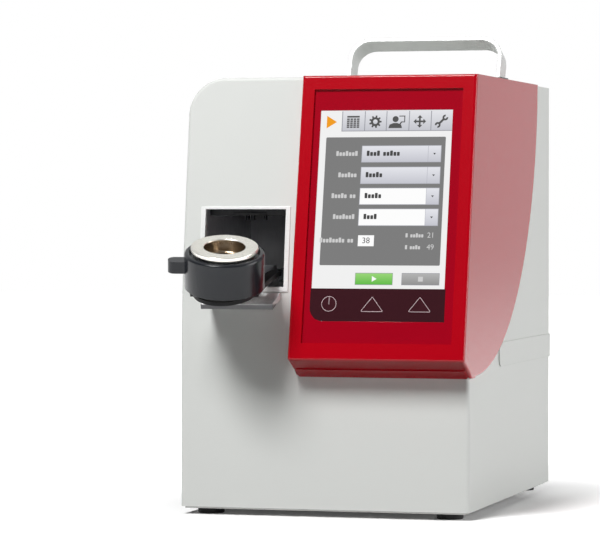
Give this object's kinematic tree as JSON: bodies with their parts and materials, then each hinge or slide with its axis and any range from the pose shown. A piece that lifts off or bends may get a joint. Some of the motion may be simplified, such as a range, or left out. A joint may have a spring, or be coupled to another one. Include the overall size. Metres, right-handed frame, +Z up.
{
  "type": "flash point tester",
  "caption": "Bench-top flash point tester: pale housing with a leaning touch-screen hood, a lit sample chamber and a cup holder that swings in under the lid.",
  "frame": {"origin": "centre of the footprint on the bench, with the cup holder drawn out", "axes": "+X to the right seen from the front, +Y to the back, +Z up"},
  "size_m": [0.2236, 0.3782, 0.3631],
  "materials": {
    "housing_paint": "fine textured satin paint",
    "handle_paint": "smooth satin paint",
    "hood_paint": "fine textured gloss paint",
    "insert_gloss": "polished",
    "strip_gloss": "polished",
    "key_print": "polished with a printed symbol",
    "touch_panel": "lit screen behind a clear face",
    "holder_plastic": "fine matt",
    "cup_metal": "turned",
    "chamber_metal": "satin",
    "trim_metal": "satin",
    "black_plastic": "moulded",
    "rubber_black": "matt",
    "steel": "ground",
    "aluminium": "milled",
    "brass": "turned",
    "board_green": "solder mask",
    "motor_dark": "satin",
    "ceramic_white": "ground ceramic",
    "tube_clear": "soft clear tube",
    "stir_white": "smooth"
  },
  "bodies": {
    "root": {"air_pump": "motor_dark", "air_tube": "tube_clear", "base_plate": "steel", "carriage_rails": "aluminium", "carry_handle": "handle_paint", "chamber_liner": "chamber_metal", "cooling_module": "ceramic_white", "cover_screws": "steel", "display_bezel": "insert_gloss", "display_board": "board_green", "display_frame": "black_plastic", "display_hood": "hood_paint", "divider_plate": "steel", "electrodes": "steel", "fan_guard": "steel", "feet": "rubber_black", "gas_block": "aluminium", "guide_rods": "steel", "handle_mounts": "black_plastic", "heat_sink": "aluminium", "housing_cover": "housing_paint", "ignition_module": "black_plastic", "key_pad": "rubber_black", "key_strip": "strip_gloss", "lid_block": "chamber_metal", "lid_seal": "rubber_black", "lift_frame": "steel", "lift_motor": "motor_dark", "loading_ledge": "trim_metal", "main_board": "board_green", "network_jack": "black_plastic", "opening_trim": "trim_metal", "power_inlet": "black_plastic", "power_supply": "steel", "rear_fan": "black_plastic", "rear_panel": "housing_paint", "screen_module": "black_plastic", "side_strip": "handle_paint", "sink_fan": "black_plastic", "switch_body": "black_plastic", "thermocouple": "steel", "touch_glass": "touch_panel", "usb_ports": "black_plastic", "vent_fitting": "steel"},
    "carriage": {"cup_carriage": "steel"},
    "holder": {"cup_holder": "holder_plastic"},
    "cup": {"sample_cup": "cup_metal"},
    "stir_bar": {"stir_bar": "stir_white"},
    "lift": {"lift_bracket": "aluminium", "lift_nut": "brass", "lift_stem": "aluminium", "stirrer_motor": "black_plastic"},
    "lead_screw": {"lead_screw": "steel"},
    "stirrer": {"stirrer_rotor": "steel"},
    "sink_fan_rotor": {"sink_fan_rotor": "black_plastic"},
    "rear_fan_rotor": {"rear_fan_rotor": "black_plastic"},
    "power_key": {"power_key": "key_print"},
    "left_arrow_key": {"left_arrow_key": "key_print"},
    "right_arrow_key": {"right_arrow_key": "key_print"},
    "switch_rocker": {"switch_rocker": "black_plastic"}
  },
  "joints": [
    {"name": "carriage_slide", "type": "hinge", "parent": "root", "child": "carriage", "pos_m": [0, -0.0705, -0.05554], "axis": [-1, 0, 0], "range_deg": [0, 20]},
    {"name": "holder_turn", "type": "hinge", "parent": "carriage", "child": "holder", "pos_m": [-0.0625, -0.1535, 0.1725], "axis": [0.0593, -0.3967, 0.916], "range_deg": [0, 74]},
    {"name": "cup_lift", "type": "slide", "parent": "holder", "child": "cup", "axis": [0.1, -0.3271, 0.9397], "range_m": [0, 0.0057]},
    {"name": "stir_bar_spin", "type": "hinge", "parent": "cup", "child": "stir_bar", "pos_m": [-0.0625, -0.1535, 0.1725], "axis": [0.1, -0.3271, 0.9397], "continuous": true},
    {"name": "lift_slide", "type": "slide", "parent": "root", "child": "lift", "axis": [0, 0, 1], "range_m": [0, 0.0057]},
    {"name": "screw_spin", "type": "hinge", "parent": "root", "child": "lead_screw", "pos_m": [-0.0625, -0.0705, 0.1], "axis": [0, 0, 1], "range_deg": [0, 520]},
    {"name": "stirrer_spin", "type": "hinge", "parent": "lift", "child": "stirrer", "pos_m": [-0.0625, -0.0705, 0.18], "axis": [0, 0, 1], "continuous": true},
    {"name": "sink_fan_spin", "type": "hinge", "parent": "root", "child": "sink_fan_rotor", "pos_m": [-0.0625, -0.0545, 0.2808], "axis": [0, 0, 1], "continuous": true},
    {"name": "rear_fan_spin", "type": "hinge", "parent": "root", "child": "rear_fan_rotor", "pos_m": [-0.064, 0.183, 0.235], "axis": [0, 1, 0], "continuous": true},
    {"name": "power_key_press", "type": "slide", "parent": "root", "child": "power_key", "axis": [0, 0.9794, -0.202], "range_m": [0, 0.0005], "stiffness_N_per_m": 600, "springref_m": -0.0005},
    {"name": "left_arrow_press", "type": "slide", "parent": "root", "child": "left_arrow_key", "axis": [0, 0.9794, -0.202], "range_m": [0, 0.0005], "stiffness_N_per_m": 600, "springref_m": -0.0005},
    {"name": "right_arrow_press", "type": "slide", "parent": "root", "child": "right_arrow_key", "axis": [0, 0.9794, -0.202], "range_m": [0, 0.0005], "stiffness_N_per_m": 600, "springref_m": -0.0005},
    {"name": "switch_rock", "type": "hinge", "parent": "root", "child": "switch_rocker", "pos_m": [0.01, 0.1805, 0.045], "axis": [-1, 0, 0], "range_deg": [0, 12]}
  ],
  "couplings": [
    {"joint": "holder_turn", "follows": "carriage_slide", "ratio": 3.7},
    {"joint": "cup_lift", "follows": "lift_slide", "ratio": 1},
    {"joint": "screw_spin", "follows": "lift_slide", "rad_per_m": 1570.8}
  ]
}
